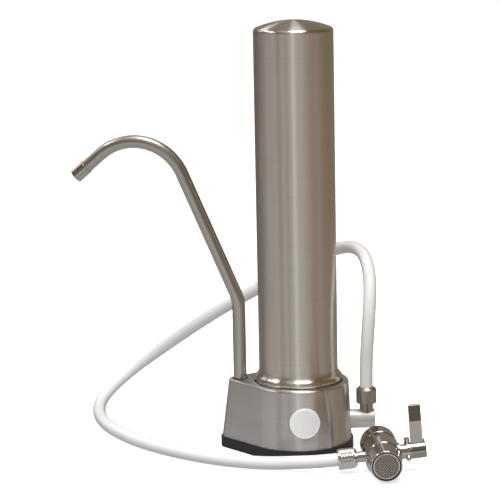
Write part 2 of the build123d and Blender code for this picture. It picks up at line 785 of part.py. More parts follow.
def make_lever():
    """The lever: a round hub with a peg, and a flat blade whose finger end bends back."""
    hub_start = bonnet_end + seat_gap
    half = lever_thickness / 2
    bend = radians(lever_bend)
    rise = lever_reach - lever_bend_height
    lean = Vector(0, rise, -rise * tan(bend))
    knee = half * tan(bend / 2)
    side = Polyline(
        (0, 0, half),
        (0, lever_bend_height - knee, half),
        (0, lever_bend_height + lean.Y - knee, half + lean.Z),
        (0, lever_bend_height + lean.Y + knee, lean.Z - half),
        (0, lever_bend_height + knee, -half),
        (0, 0, -half),
        close=True,
    )
    middle = hub_start + lever_base_width / 2
    above_tip = lever_reach + lever_thickness
    tip_middle = middle + above_tip * tan(radians(lever_splay))
    blade = Pos(hub_start, 0, 0) * extrude(make_face(side), amount=hub_end - hub_start, dir=(1, 0, 0))
    front = make_face(
        Polyline(
            (middle - lever_base_width / 2, 0),
            (tip_middle - lever_tip_width / 2, above_tip),
            (tip_middle + lever_tip_width / 2, above_tip),
            (middle + lever_base_width / 2, 0),
            close=True,
        )
    )
    blade &= extrude(front, amount=lever_reach, both=True)
    blade = fillet(blade.faces().sort_by(Axis.Y)[-1].edges(), lever_edge)
    hub = round_top(rod(hub_radius, hub_start, hub_end), lever_edge)
    stem_end = hub_end - lever_screw_sink
    peg = rod(peg_radius, stem_radius + fit, hub_radius + peg_rise)
    lever = ALONG_X * hub + blade + Pos(hub_end - peg_inset, 0, 0) * Rot(-90, 0, 0) * peg
    lever -= ALONG_X * rod(stem_radius + fit, hub_start, stem_end)
    return lever - ALONG_X * rod(lever_screw_head + fit, stem_end, hub_end)


def make_lever_screw():
    """The screw in the hub's end, with a low dome."""
    stem_end = hub_end - lever_screw_sink
    head = round_top(rod(lever_screw_head, stem_end, hub_end), lever_edge)
    return ALONG_X * (head + rod(lever_screw_shank, stem_end - lever_screw_length, stem_end))


def make_side_nut():
    """The nut that holds the hose on the diverter."""
    nut = hose_nut(side_nut_radius, side_nut_length, side_nut_port_cone, side_nut_hose_cone, side_stub_length)
    return ALONG_MINUS_X * Pos(0, 0, port_length) * nut


nodes["diverter_body"] = diverter * make_diverter_body()
nodes["coupling_nut"] = diverter * make_coupling_nut()
nodes["coupling_retainer"] = diverter * make_retainer()
washer = tube(retainer_radius, faucet_washer_bore, -neck_end - faucet_washer_thickness, -neck_end)
nodes["coupling_washer"] = diverter * washer
nodes["aerator_housing"] = diverter * make_aerator_housing()
spigot_end = valve_front + outlet_spigot_length
washer_end = spigot_end + washer_thickness
washer = tube(screen_ring_radius, screen_radius - screen_ring_ledge, spigot_end, washer_end)
nodes["aerator_washer"] = diverter * washer
nodes["aerator_ring"] = diverter * make_screen_ring()
screen_front = housing_front + screen_ring_proud - screen_recess
nodes["aerator_screen"] = diverter * rod(screen_radius, screen_front - screen_thickness, screen_front)
nodes["valve_spool"] = diverter * make_valve_spool()
nodes["spool_o_rings"] = diverter * make_spool_rings()
nodes["bonnet"] = diverter * make_bonnet()
nodes["lever"] = diverter * make_lever()
nodes["lever_screw"] = diverter * make_lever_screw()
nodes["hose_nut_diverter"] = diverter * make_side_nut()


# Hose

hose_start = at_angle(inlet_angle, riser_reach).position + Vector(0, 0, stub_top)
hose_end = diverter_center - lever_way * (port_length + side_stub_length)
hose_route = [
    hose_start,
    hose_start + Vector(0, 0, hose_rise),
    Vector(52.0, 8.5, 82.2),
    Vector(53.5, 10.0, 104.7),
    Vector(53.5, 18.5, 123.7),
    Vector(50.0, 33.0, 137.7),
    Vector(42.5, 50.5, 145.2),
    Vector(30.5, 67.5, 144.7),
    Vector(14.0, 80.0, 138.7),
    Vector(-8.0, 86.0, 127.7),
    Vector(-31.0, 86.5, 113.7),
    Vector(-54.0, 88.0, 100.7),
    Vector(-77.0, 94.0, 86.7),
    Vector(-99.5, 103.5, 71.2),
    Vector(-120.5, 115.0, 55.7),
    Vector(-140.7, 122.5, 40.8),
    Vector(-159.8, 121.0, 27.0),
    Vector(-173.9, 107.0, 15.4),
    Vector(-179.3, 84.0, 7.9),
    Vector(-173.2, 56.5, 5.0),
    Vector(-159.5, 26.5, 5.0),
    Vector(-137.0, -2.5, 5.0),
    Vector(-111.0, -25.5, 5.0),
    Vector(-83.5, -42.5, 5.0),
    Vector(-56.0, -55.0, 5.0),
    Vector(-32.0, -61.0, 5.0),
    Vector(-12.0, -64.0, 5.5),
    Vector(5.0, -66.0, 7.2),
    hose_end - lever_way * hose_lead,
    hose_end,
]


def corner_radii(points):
    """The bend radius at each corner of a route, from the shorter of its two runs."""
    radii = []
    for before, here, after in zip(points, points[1:], points[2:]):
        turn = radians((here - before).get_angle(after - here))
        shorter = min((here - before).length, (after - here).length)
        radii.append(bend_share * shorter / tan(turn / 2))
    return radii


def make_hose(points, radii):
    """The plain hose: a tube swept along straight runs and tangent arcs."""
    path = FilletPolyline(*points, radius=radii)
    section = Plane(origin=path @ 0, z_dir=path % 0) * (Circle(hose_radius) - Circle(hose_bore / 2))
    return sweep(section, path=path), path.length


hose_radii = corner_radii(hose_route)
nodes["hose"], hose_length = make_hose(hose_route, hose_radii)
print("hose radii", [round(radius, 1) for radius in hose_radii])
expected = (hose_radius**2 - (hose_bore / 2) ** 2) * radians(180) * hose_length
print("hose length", round(hose_length, 1))
print("hose volume", round(nodes["hose"].volume, 1), "section times length", round(expected, 1))

os.makedirs("parts", exist_ok=True)
for name, shape in nodes.items():
    export_step(shape, f"parts/{name}.step")
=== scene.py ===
"""Looks of a countertop water filter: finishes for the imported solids, and a few pieces modelled finer.

Laid out as an add-on and run as a script. Metres, +Z up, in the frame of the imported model.
"""
import json
import math

import bpy
from mathutils import Matrix, Vector


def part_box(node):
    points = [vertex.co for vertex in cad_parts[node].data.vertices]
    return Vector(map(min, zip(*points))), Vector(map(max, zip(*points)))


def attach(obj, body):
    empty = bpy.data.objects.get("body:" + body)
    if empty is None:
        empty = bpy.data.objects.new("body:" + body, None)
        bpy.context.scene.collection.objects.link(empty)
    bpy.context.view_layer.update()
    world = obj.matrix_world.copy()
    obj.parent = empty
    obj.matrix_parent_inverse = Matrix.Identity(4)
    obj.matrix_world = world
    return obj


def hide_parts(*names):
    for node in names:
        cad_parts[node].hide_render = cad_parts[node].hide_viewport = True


bl_info = {
    "name": "Countertop water filter",
    "version": (1, 0, 0),
    "blender": (4, 5, 0),
    "location": "View3D > Sidebar > Water Filter",
    "description": "Finishes, fine pieces and stage of a countertop water filter",
    "category": "Object",
}

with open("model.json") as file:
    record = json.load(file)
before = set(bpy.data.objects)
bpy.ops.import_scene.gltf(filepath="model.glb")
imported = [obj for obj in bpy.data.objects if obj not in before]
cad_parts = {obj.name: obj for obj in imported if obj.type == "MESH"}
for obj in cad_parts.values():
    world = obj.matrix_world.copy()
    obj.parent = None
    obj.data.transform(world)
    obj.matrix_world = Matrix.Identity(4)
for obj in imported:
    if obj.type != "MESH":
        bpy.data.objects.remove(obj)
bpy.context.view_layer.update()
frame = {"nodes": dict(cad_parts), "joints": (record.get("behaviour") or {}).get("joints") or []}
JOINTS = {joint["name"]: joint for joint in frame["joints"]}

# The diverter valve's own frame: X to the lever, Y up, Z to the outlet
LEVER_WAY = Vector(JOINTS["lever_turn"]["axis"])
OUTLET_WAY = Vector(JOINTS["nut_turn"]["axis"])
DIVERTER = Matrix((LEVER_WAY, OUTLET_WAY.cross(LEVER_WAY), OUTLET_WAY)).transposed().to_4x4()
DIVERTER.translation = Vector(JOINTS["lever_turn"]["pos_m"])

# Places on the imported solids
DOME_RISE = 0.0063
DOME_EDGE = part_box("canister")[1].z - DOME_RISE
RIM_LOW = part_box("canister")[0].z
BADGE_CENTER = sum(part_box("badge"), Vector()) / 2

# Places nearer than this are taken as one
SAME_PLACE = 1e-6

# The hose's route, from the inlet nipple to the diverter's port
HOSE_ROUTE = (
    (0.050570, 0.010749, 0.0393),
    (0.050570, 0.010749, 0.0610),
    (0.0520, 0.0085, 0.0822),
    (0.0535, 0.0100, 0.1047),
    (0.0535, 0.0185, 0.1237),
    (0.0500, 0.0330, 0.1377),
    (0.0425, 0.0505, 0.1452),
    (0.0305, 0.0675, 0.1447),
    (0.0140, 0.0800, 0.1387),
    (-0.0080, 0.0860, 0.1277),
    (-0.0310, 0.0865, 0.1137),
    (-0.0540, 0.0880, 0.1007),
    (-0.0770, 0.0940, 0.0867),
    (-0.0995, 0.1035, 0.0712),
    (-0.1205, 0.1150, 0.0557),
    (-0.1407, 0.1225, 0.0408),
    (-0.1598, 0.1210, 0.0270),
    (-0.1739, 0.1070, 0.0154),
    (-0.1793, 0.0840, 0.0079),
    (-0.1732, 0.0565, 0.0050),
    (-0.1595, 0.0265, 0.0050),
    (-0.1370, -0.0025, 0.0050),
    (-0.1110, -0.0255, 0.0050),
    (-0.0835, -0.0425, 0.0050),
    (-0.0560, -0.0550, 0.0050),
    (-0.0320, -0.0610, 0.0050),
    (-0.0120, -0.0640, 0.0055),
    (0.0050, -0.0660, 0.0072),
    (0.026477, -0.069502, 0.009471),
    (0.043938, -0.065471, 0.011165),
)

# The studio's tones, listed by their turn about the object: 0.5 is at the camera, larger to its right
TABLE_TONES = (
    (0.000, (0.17, 0.12, 0.09)),
    (0.110, (0.05, 0.0, 0.0)),
    (0.172, (0.09, 0.03, 0.02)),
    (0.211, (0.37, 0.32, 0.29)),
    (0.264, (0.68, 0.63, 0.60)),
    (0.303, (0.36, 0.32, 0.29)),
    (0.342, (0.77, 0.71, 0.63)),
    (0.372, (0.41, 0.38, 0.34)),
    (0.408, (1.22, 1.15, 1.05)),
    (0.430, (0.54, 0.51, 0.46)),
    (0.455, (0.94, 0.89, 0.82)),
    (0.492, (1.12, 1.09, 1.05)),
    (0.520, (0.90, 0.86, 0.80)),
    (0.550, (0.68, 0.66, 0.58)),
    (0.597, (0.63, 0.54, 0.42)),
    (0.630, (0.60, 0.21, 0.11)),
    (0.664, (0.55, 0.23, 0.13)),
    (0.700, (0.47, 0.38, 0.31)),
    (0.745, (0.28, 0.14, 0.0)),
    (0.772, (0.25, 0.10, 0.0)),
    (0.842, (0.22, 0.13, 0.02)),
    (0.917, (0.25, 0.20, 0.14)),
    (1.000, (0.17, 0.12, 0.09)),
)
ROOM_TONES = (
    (0.00, (0.25, 0.225, 0.185)),
    (0.20, (0.10, 0.065, 0.050)),
    (0.35, (0.19, 0.155, 0.115)),
    (0.47, (0.22, 0.185, 0.135)),
    (0.488, (0.60, 0.58, 0.55)),
    (0.514, (0.20, 0.165, 0.115)),
    (0.65, (0.19, 0.130, 0.080)),
    (0.80, (0.13, 0.085, 0.030)),
    (1.00, (0.25, 0.225, 0.185)),
)
NEAR_TABLE = (0.42, 0.415, 0.42)
TABLE_BOUNCE = (0.52, 0.52, 0.53)

# Soft steps from one tone to the next by a look's rise, from -1 straight down to 1 straight up
NEAR_TABLE_END = (-0.36, -0.20)
TABLE_END = (-0.17, -0.09)
BOUNCE_END = (-0.20, 0.00)
PANELS_START = (0.10, 0.12)

# Panels overhead: left, right, back and near edges as slopes from straight up, and strength
PANELS = (
    (-0.12, 0.34, -0.15, 0.45, 5.0),
    (-0.04, 0.20, -0.46, -0.15, 3.0),
    (-1.00, -0.75, -0.60, 0.25, 4.8),
    (-0.62, -0.40, -1.75, -0.90, 3.0),
    (-1.60, -1.25, -1.80, -0.60, 2.0),
    (-0.42, -0.12, -0.40, 0.90, 0.55),
)
# How far the panels' edges blur to each side, across and ahead
SIDE_BLUR = 0.04
DEPTH_BLUR = 0.06


class FilterFinish(bpy.types.PropertyGroup):
    """Colours of the filter's finishes."""

    steel: bpy.props.FloatVectorProperty(
        name="Steel", description="Brushed steel of the canister",
        subtype="COLOR", size=3, min=0, max=1, default=(0.81, 0.78, 0.735))
    shell: bpy.props.FloatVectorProperty(
        name="Shell", description="Brushed steel of the base",
        subtype="COLOR", size=3, min=0, max=1, default=(0.81, 0.805, 0.80))
    tube: bpy.props.FloatVectorProperty(
        name="Tube", description="Satin steel of the spout",
        subtype="COLOR", size=3, min=0, max=1, default=(0.61, 0.595, 0.57))
    bar: bpy.props.FloatVectorProperty(
        name="Bar", description="Satin steel of the inlet bar",
        subtype="COLOR", size=3, min=0, max=1, default=(0.84, 0.825, 0.80))
    chrome: bpy.props.FloatVectorProperty(
        name="Chrome", description="Polished plate of the diverter",
        subtype="COLOR", size=3, min=0, max=1, default=(0.70, 0.695, 0.69))
    nickel: bpy.props.FloatVectorProperty(
        name="Nickel", description="Dark plate of the inlet nut and nipple",
        subtype="COLOR", size=3, min=0, max=1, default=(0.56, 0.52, 0.47))
    foot: bpy.props.FloatVectorProperty(
        name="Foot", description="Moulded foot",
        subtype="COLOR", size=3, min=0, max=1, default=(0.030, 0.030, 0.036))
    hose: bpy.props.FloatVectorProperty(
        name="Hose", description="Glossy hose",
        subtype="COLOR", size=3, min=0, max=1, default=(0.86, 0.86, 0.87))
    badge: bpy.props.FloatVectorProperty(
        name="Badge", description="Plain pearl plate on the base",
        subtype="COLOR", size=3, min=0, max=1, default=(0.90, 0.91, 0.93))


class FilterDetail(bpy.types.PropertyGroup):
    """Sizes of the pieces that are modelled here."""

    hose_diameter: bpy.props.FloatProperty(
        name="Hose diameter", description="Outside diameter of the hose",
        unit="LENGTH", default=0.0100)
    hose_length: bpy.props.FloatProperty(
        name="Hose length", description="Length of the hose between its two ends",
        unit="LENGTH", default=0.724)
    knurl_count: bpy.props.IntProperty(
        name="Knurl count", description="Diamonds round the diverter's hose nut",
        min=12, default=24)
    knurl_rows: bpy.props.IntProperty(
        name="Knurl rows", description="Half diamonds along the diverter's hose nut",
        min=4, default=12)
    knurl_height: bpy.props.FloatProperty(
        name="Knurl height", description="Height of a knurl's diamond",
        unit="LENGTH", default=0.00017)
    wire_pitch: bpy.props.FloatProperty(
        name="Wire pitch", description="Spacing of the screen's wires",
        unit="LENGTH", default=0.00145)
    wire_radius: bpy.props.FloatProperty(
        name="Wire radius", description="Radius of the screen's wires",
        unit="LENGTH", default=0.00035)


class FilterStage(bpy.types.PropertyGroup):
    """Camera, lamp and floor."""

    eye: bpy.props.FloatVectorProperty(
        name="Eye", description="Place of the camera",
        subtype="TRANSLATION", size=3, default=(0.2634, -1.6109, 0.47555))
    target: bpy.props.FloatVectorProperty(
        name="Target", description="Point that the camera looks at",
        subtype="TRANSLATION", size=3, default=(-0.0346, -0.0064, 0.15505))
    lens: bpy.props.FloatProperty(
        name="Lens", description="Focal length on a 36 mm sensor",
        unit="CAMERA", default=158.4)
    roll: bpy.props.FloatProperty(
        name="Roll", description="Turn of the camera about its view",
        unit="ROTATION", default=math.radians(-1.15))
    lamp: bpy.props.FloatProperty(
        name="Lamp", description="Power of the soft lamp that lights matt surfaces",
        unit="POWER", default=30.0)
    floor_size: bpy.props.FloatProperty(
        name="Floor size", description="Side of the floor",
        unit="LENGTH", default=8.0)


class Value:
    """A number, colour or vector on a node's socket. Arithmetic on numbers adds Math nodes."""

    def __init__(self, board, socket):
        self.board = board
        self.socket = socket

    def maths(self, operation, *inputs):
        """A Math node of these inputs."""
        return self.board.node("ShaderNodeMath", {"operation": operation}, dict(enumerate(inputs)))

    def __add__(self, other):
        return self.maths("ADD", self, other)

    def __radd__(self, other):
        return self.maths("ADD", other, self)

    def __sub__(self, other):
        return self.maths("SUBTRACT", self, other)

    def __rsub__(self, other):
        return self.maths("SUBTRACT", other, self)

    def __mul__(self, other):
        return self.maths("MULTIPLY", self, other)

    def __rmul__(self, other):
        return self.maths("MULTIPLY", other, self)

    def __truediv__(self, other):
        return self.maths("DIVIDE", self, other)

    def __rtruediv__(self, other):
        return self.maths("DIVIDE", other, self)

    def between(self, low, high):
        """0 below low, 1 above high, smooth in between."""
        return self.board.node(
            "ShaderNodeMapRange", {"interpolation_type": "SMOOTHSTEP"},
            {"Value": self, "From Min": low, "From Max": high})

    def within(self, low, high, blur):
        """1 from low to high and 0 outside, with blurred edges."""
        return self.between(low - blur, low + blur) * (1 - self.between(high - blur, high + blur))

    def swing(self, width):
        """Noise from 0 to 1, as a swing of this width about 0."""
        return (self - 0.5) * width


class Board:
    """A node tree, to which node() adds nodes."""

    # A Mix node's sockets for colours, by number because their names repeat
    mix_share, mix_first, mix_second, mix_result = 0, 6, 7, 2

    def __init__(self, tree):
        self.tree = tree

    def node(self, kind, settings=None, sockets=None, output=0):
        """Adds a node: its settings first, then its sockets' values or links. Gives one of its outputs."""
        added = self.tree.nodes.new(kind)
        for name, value in (settings or {}).items():
            if name == "stops":
                ramp = added.color_ramp
                while len(ramp.elements) < len(value):
                    ramp.elements.new(1)
                for element, (position, colour) in zip(ramp.elements, value):
                    element.position = position
                    element.color = (*colour, 1)
            else:
                setattr(added, name, value)
        for key, value in (sockets or {}).items():
            if isinstance(value, Value):
                self.tree.links.new(value.socket, added.inputs[key])
            else:
                added.inputs[key].default_value = value
        return Value(self, added.outputs[output])

    def mix(self, share, first, second):
        """A colour between two, by a share."""
        colours = [c if isinstance(c, Value) else (*c, 1) for c in (first, second)]
        return self.node(
            "ShaderNodeMix", {"data_type": "RGBA"},
            {self.mix_share: share, self.mix_first: colours[0], self.mix_second: colours[1]},
            output=self.mix_result)


class Finish(Board):
    """A material whose surface is one Principled shader."""

    # Sockets whose names aren't plain title case
    socket_names = {"specular_ior_level": "Specular IOR Level"}

    def __init__(self, name):
        self.material = bpy.data.materials.new(name)
        self.material.use_nodes = True
        super().__init__(self.material.node_tree)
        self.surface = self.tree.nodes["Principled BSDF"]

    def set(self, **sockets):
        """Sets or links the shader's sockets, named with underscores for spaces."""
        for key, value in sockets.items():
            name = self.socket_names.get(key, key.replace("_", " ").title())
            if isinstance(value, Value):
                self.tree.links.new(value.socket, self.surface.inputs[name])
            else:
                self.surface.inputs[name].default_value = value
        return self

    def place(self):
        """Object coordinates."""
        return self.node("ShaderNodeTexCoord", output="Object")

    def height(self):
        """The object coordinate along Z."""
        return self.node("ShaderNodeSeparateXYZ", {}, {"Vector": self.place()}, output="Z")

    def stretched(self, scale):
        """Object coordinates, scaled along each axis."""
        return self.node("ShaderNodeMapping", {}, {"Vector": self.place(), "Scale": scale})

    def noise(self, scale, detail=2.0, vector=None):
        """Noise from 0 to 1."""
        return self.node(
            "ShaderNodeTexNoise", {}, {"Vector": vector or self.place(), "Scale": scale, "Detail": detail})

    def bump(self, height, depth):
        """A normal from a height."""
        return self.node("ShaderNodeBump", {}, {"Height": height, "Distance": depth})


def shade(tone, share):
    """A colour made lighter or darker by a share."""
    return tuple(min(1.0, part * share) for part in tone)


def dress(names, finish):
    """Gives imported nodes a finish."""
    for name in names:
        for slot in frame["nodes"][name].material_slots:
            slot.material = finish.material


def grained(name, tone, rough, grain, depth, spread=0.12, **constants):
    """A moulded or cast finish: its tone and gloss drift, and a fine grain lifts its surface."""
    finish = Finish(name)
    cloud = finish.noise(scale=60.0, detail=3.0)
    fine = finish.noise(scale=grain)
    return finish.set(
        base_color=finish.mix(cloud, shade(tone, 1 - spread), shade(tone, 1 + spread)),
        roughness=rough + fine.swing(0.12) + cloud.swing(0.08),
        normal=finish.bump(fine, depth),
        **constants)


def chrome(context, name, rough=0.035, share=1.0):
    """Polished plate with faint smears, lighter or darker by a share."""
    finish = Finish(name)
    smear = finish.noise(scale=90.0, detail=3.0)
    fine = finish.noise(scale=1500.0)
    tone = shade(context.scene.filter_finish.chrome, share)
    return finish.set(
        base_color=finish.mix(smear, shade(tone, 0.96), tone),
        metallic=1.0,
        roughness=rough + smear.swing(0.05),
        normal=finish.bump(fine, depth=0.000004))


def clear_selection():
    """Deselects everything, in object mode."""
    if bpy.context.object and bpy.context.object.mode != "OBJECT":
        bpy.ops.object.mode_set(mode="OBJECT")
    bpy.ops.object.select_all(action="DESELECT")


def pick_all():
    """Selects, in edit mode, all of the active mesh."""
    bpy.ops.object.mode_set(mode="EDIT")
    bpy.ops.mesh.select_mode(type="VERT")
    bpy.ops.mesh.select_all(action="SELECT")


def pick(kind, test):
    """Selects, in edit mode, the active mesh's vertices, edges or faces whose corners' places pass a test."""
    bpy.ops.object.mode_set(mode="EDIT")
    bpy.ops.mesh.select_mode(type=kind)
    bpy.ops.mesh.select_all(action="DESELECT")
    bpy.ops.object.mode_set(mode="OBJECT")
    mesh = bpy.context.object.data
    count = 0
    for item in {"VERT": mesh.vertices, "EDGE": mesh.edges, "FACE": mesh.polygons}[kind]:
        corners = [item.co] if kind == "VERT" else [mesh.vertices[index].co for index in item.vertices]
        item.select = bool(test(corners))
        count += item.select
    if not count:
        raise RuntimeError("nothing was picked on " + bpy.context.object.name)
    bpy.ops.object.mode_set(mode="EDIT")


def extrude(rise, along=0):
    """Extrudes what is picked by a rise along Z, and by a way along X where one is given."""
    bpy.ops.mesh.extrude_region_move(TRANSFORM_OT_translate={"value": (along, 0, rise)})


def widen(share):
    """Scales what is picked about the Z axis."""
    bpy.ops.transform.resize(value=(share, share, 1), center_override=(0, 0, 0))


def turn_about_z(degrees):
    """Turns what is picked about the Z axis."""
    bpy.ops.transform.rotate(value=math.radians(degrees), orient_axis="Z", center_override=(0, 0, 0))


def face_outwards():
    """Turns every face of the mesh in edit mode outwards, and leaves edit mode."""
    bpy.ops.mesh.select_all(action="SELECT")
    bpy.ops.mesh.normals_make_consistent(inside=False)
    bpy.ops.object.mode_set(mode="OBJECT")


def paint(piece, finish):
    """Gives a piece one finish."""
    piece.data.materials.clear()
    piece.data.materials.append(finish.material)


def settle(piece, name, body, place, smooth_degrees=30.0):
    """Ends a piece modelled about the origin: its place goes into its mesh, and it rides on a body."""
    clear_selection()
    piece.select_set(True)
    bpy.context.view_layer.objects.active = piece
    piece.matrix_world = place
    bpy.ops.object.transform_apply(location=True, rotation=True, scale=True)
    bpy.ops.object.shade_smooth_by_angle(angle=math.radians(smooth_degrees))
    piece.name = name
    piece.data.name = name
    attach(piece, body)


class FILTER_OT_stage(bpy.types.Operator):
    """Add the camera, the floor, the lamp and the studio's surroundings"""

    bl_idname = "filter.stage"
    bl_label = "Stage"

    # The camera's sensor in millimetres, and how far it sees
    sensor_width = 36.0
    farthest_view = 50.0
    floor_tones = ((0.90, 0.90, 0.90), (0.93, 0.93, 0.93))
    floor_glow = 0.60
    # Where the lamp hangs, its tilt in radians and its side
    lamp_place = (-0.1, -1.0, 1.6)
    lamp_tilt = 0.56
    lamp_side = 1.6

    def execute(self, context):
        settings = context.scene.filter_stage
        clear_selection()
        eye, target = Vector(settings.eye), Vector(settings.target)
        self.add_camera(context, eye, target, settings)
        self.add_floor(context, settings.floor_size)
        self.add_lamp(context, settings.lamp)
        self.surround(context.scene, eye - target)
        context.scene.view_settings.view_transform = "Standard"
        return {"FINISHED"}

    def add_camera(self, context, eye, target, settings):
        """The camera at the eye, turned to the target and rolled about its view."""
        aim = (target - eye).to_track_quat("-Z", "Y").to_matrix().to_4x4()
        aim = Matrix.Translation(eye) @ aim @ Matrix.Rotation(settings.roll, 4, "Z")
        bpy.ops.object.camera_add(location=aim.translation, rotation=aim.to_euler())
        camera = context.object
        camera.name = "photo_camera"
        camera.data.sensor_width = self.sensor_width
        camera.data.lens = settings.lens
        camera.data.clip_end = self.farthest_view
        context.scene.camera = camera

    def add_floor(self, context, size):
        """A pale floor that glows a little, unseen in reflections."""
        bpy.ops.mesh.primitive_plane_add(size=size, location=(0, 0, 0))
        floor = context.object
        floor.name = "floor"
        floor.visible_glossy = False
        floor.visible_diffuse = False
        pale = Finish("pale_floor")
        drift = pale.noise(scale=3.0)
        pale.set(
            base_color=pale.mix(drift, *self.floor_tones),
            roughness=0.8, emission_color=(1, 1, 1, 1), emission_strength=self.floor_glow)
        paint(floor, pale)

    def add_lamp(self, context, power):
        """A soft lamp above the front, unseen in reflections."""
        bpy.ops.object.light_add(type="AREA", location=self.lamp_place, rotation=(self.lamp_tilt, 0, 0))
        lamp = context.object
        lamp.name = "soft_lamp"
        lamp.data.size = self.lamp_side
        lamp.data.energy = power
        lamp.visible_glossy = False

    def surround(self, scene, view):
        """The studio round the object: a pale table, a dark room and lit panels overhead."""
        side = math.atan2(view.x, -view.y)
        scene.world = bpy.data.worlds.new("studio")
        scene.world.use_nodes = True
        board = Board(scene.world.node_tree)
        way = board.node("ShaderNodeTexCoord", output="Generated")
        right, near = [
            board.node(
                "ShaderNodeVectorMath", {"operation": "DOT_PRODUCT"}, {0: way, 1: axis}, output="Value")
            for axis in ((math.cos(side), math.sin(side), 0), (math.sin(side), -math.cos(side), 0))]
        height = board.node("ShaderNodeSeparateXYZ", {}, {"Vector": way}, output="Z")
        turn = right.maths("ARCTAN2", right, near) / math.tau + 0.5
        table = board.node("ShaderNodeValToRGB", {"stops": TABLE_TONES}, {0: turn})
        room = board.node("ShaderNodeValToRGB", {"stops": ROOM_TONES}, {0: turn})
        table = board.mix(height.between(*NEAR_TABLE_END), NEAR_TABLE, table)
        light = board.mix(height.between(*TABLE_END), table, room)
        across, ahead = right / height, near / height
        overhead = height.between(*PANELS_START)
        for left_edge, right_edge, back_edge, near_edge, strength in PANELS:
            panel = across.within(left_edge, right_edge, SIDE_BLUR)
            panel = panel * ahead.within(back_edge, near_edge, DEPTH_BLUR) * overhead
            light = board.mix(panel, light, (strength, strength, strength))
        matt = board.node("ShaderNodeLightPath", output="Is Diffuse Ray")
        light = board.mix(matt * (1 - height.between(*BOUNCE_END)), light, TABLE_BOUNCE)
        seen = board.node("ShaderNodeLightPath", output="Is Camera Ray")
        shown = board.mix(seen, light, (1, 1, 1))
        background = scene.world.node_tree.nodes["Background"]
        scene.world.node_tree.links.new(shown.socket, background.inputs["Color"])
        background.inputs["Strength"].default_value = 1.0


class FILTER_OT_knurled_nut(bpy.types.Operator):
    """Add the knurled nut that holds the hose on the diverter"""

    bl_idname = "filter.knurled_nut"
    bl_label = "Knurled Nut"

    # Where the nut starts from the diverter's centre, its length and its radius
    start = 0.0187
    length = 0.0141
    radius = 0.00765
    # At each end, the cone's length, how far it draws in and the bore's radius
    port_end = {"cone": 0.0021, "draw": 0.0017, "bore": 0.0054}
    hose_end = {"cone": 0.0005, "draw": 0.0005, "bore": 0.00525}
    # How far each end's bore runs straight, before the two are joined
    bore_depth = 0.002

    def execute(self, context):
        clear_selection()
        low = self.port_end["cone"]
        high = self.length - self.hose_end["cone"]
        nut = self.knurled_band(context, low, high)
        self.close(low, -1, self.port_end)
        self.close(high, 1, self.hose_end)
        bpy.ops.mesh.select_all(action="DESELECT")
        bpy.ops.mesh.select_non_manifold()
        bpy.ops.mesh.bridge_edge_loops()
        face_outwards()
        # The nut takes a lighter copy of the chrome: painted light that brightens its knurl.
        paint(nut, chrome(context, "knurled_chrome", rough=0.12, share=1.25))
        # Modelled along Z, and laid along the diverter's port
        turn = Matrix.Rotation(math.radians(-90), 4, "Y")
        place = DIVERTER @ turn @ Matrix.Translation((0, 0, self.start))
        settle(nut, "knurled_nut", "base", place, smooth_degrees=8)
        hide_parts("hose_nut_diverter")
        return {"FINISHED"}

    def knurled_band(self, context, low, high):
        """An open band between two heights, in triangles, with the diamonds' tips raised."""
        detail = context.scene.filter_detail
        around = 2 * detail.knurl_count
        step = (high - low) / detail.knurl_rows
        bpy.ops.mesh.primitive_cylinder_add(
            vertices=around, radius=self.radius, depth=high - low, end_fill_type="NOTHING",
            location=(0, 0, (low + high) / 2))
        nut = context.object
        bpy.ops.object.transform_apply(location=True)
        pick("EDGE", lambda ends: abs(ends[0].z - ends[1].z) > step)
        bpy.ops.mesh.subdivide(number_cuts=detail.knurl_rows - 1)

        def is_tip(places):
            row = round((places[0].z - low) / step)
            column = round(math.atan2(places[0].y, places[0].x) / math.tau * around)
            return 0 < row < detail.knurl_rows and (row + column) % 2 == 0

        pick("VERT", is_tip)
        widen(1 + detail.knurl_height / self.radius)
        bpy.ops.mesh.select_all(action="SELECT")
        bpy.ops.mesh.quads_convert_to_tris(quad_method="SHORTEST_DIAGONAL")
        return nut

    def close(self, height, way, end):
        """Models one end from the band's edge: a cone, a flat ring and the start of the bore."""
        mouth = self.radius - end["draw"]
        pick("EDGE", lambda ends: all(abs(place.z - height) < SAME_PLACE for place in ends))
        extrude(way * end["cone"])
        widen(mouth / self.radius)
        extrude(0)
        widen(end["bore"] / mouth)
        extrude(-way * self.bore_depth)


class FILTER_OT_hose(bpy.types.Operator):
    """Add the white hose along its route"""

    bl_idname = "filter.hose"
    bl_label = "Hose"

    def execute(self, context):
        detail = context.scene.filter_detail
        clear_selection()
        hose = self.lay(context, detail.hose_diameter / 2)
        paint(hose, self.white(context.scene.filter_finish.hose))
        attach(hose, "base")
        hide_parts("hose")
        return {"FINISHED"}

    def lay(self, context, radius):
        """A round curve along the route."""
        bpy.ops.curve.primitive_nurbs_path_add(location=(0, 0, 0))
        hose = context.object
        hose.name = "white_hose"
        hose.data.name = "white_hose"
        hose.data.splines.clear()
        spline = hose.data.splines.new("NURBS")
        spline.points.add(len(HOSE_ROUTE) - 1)
        for point, place in zip(spline.points, HOSE_ROUTE):
            point.co = (*place, 1)
        spline.order_u = 3
        spline.use_endpoint_u = True
        spline.resolution_u = 10
        hose.data.bevel_depth = radius
        hose.data.bevel_resolution = 7
        hose.data.use_fill_caps = True
        return hose

    def white(self, tone):
        """Glossy plastic with a thin coat."""
        finish = Finish("hose_white")
        cloud = finish.noise(scale=40.0, detail=3.0)
        fine = finish.noise(scale=900.0)
        return finish.set(
            base_color=finish.mix(cloud, shade(tone, 0.97), tone),
            roughness=0.22 + cloud.swing(0.10),
            coat_weight=0.25,
            normal=finish.bump(fine, depth=0.00002))


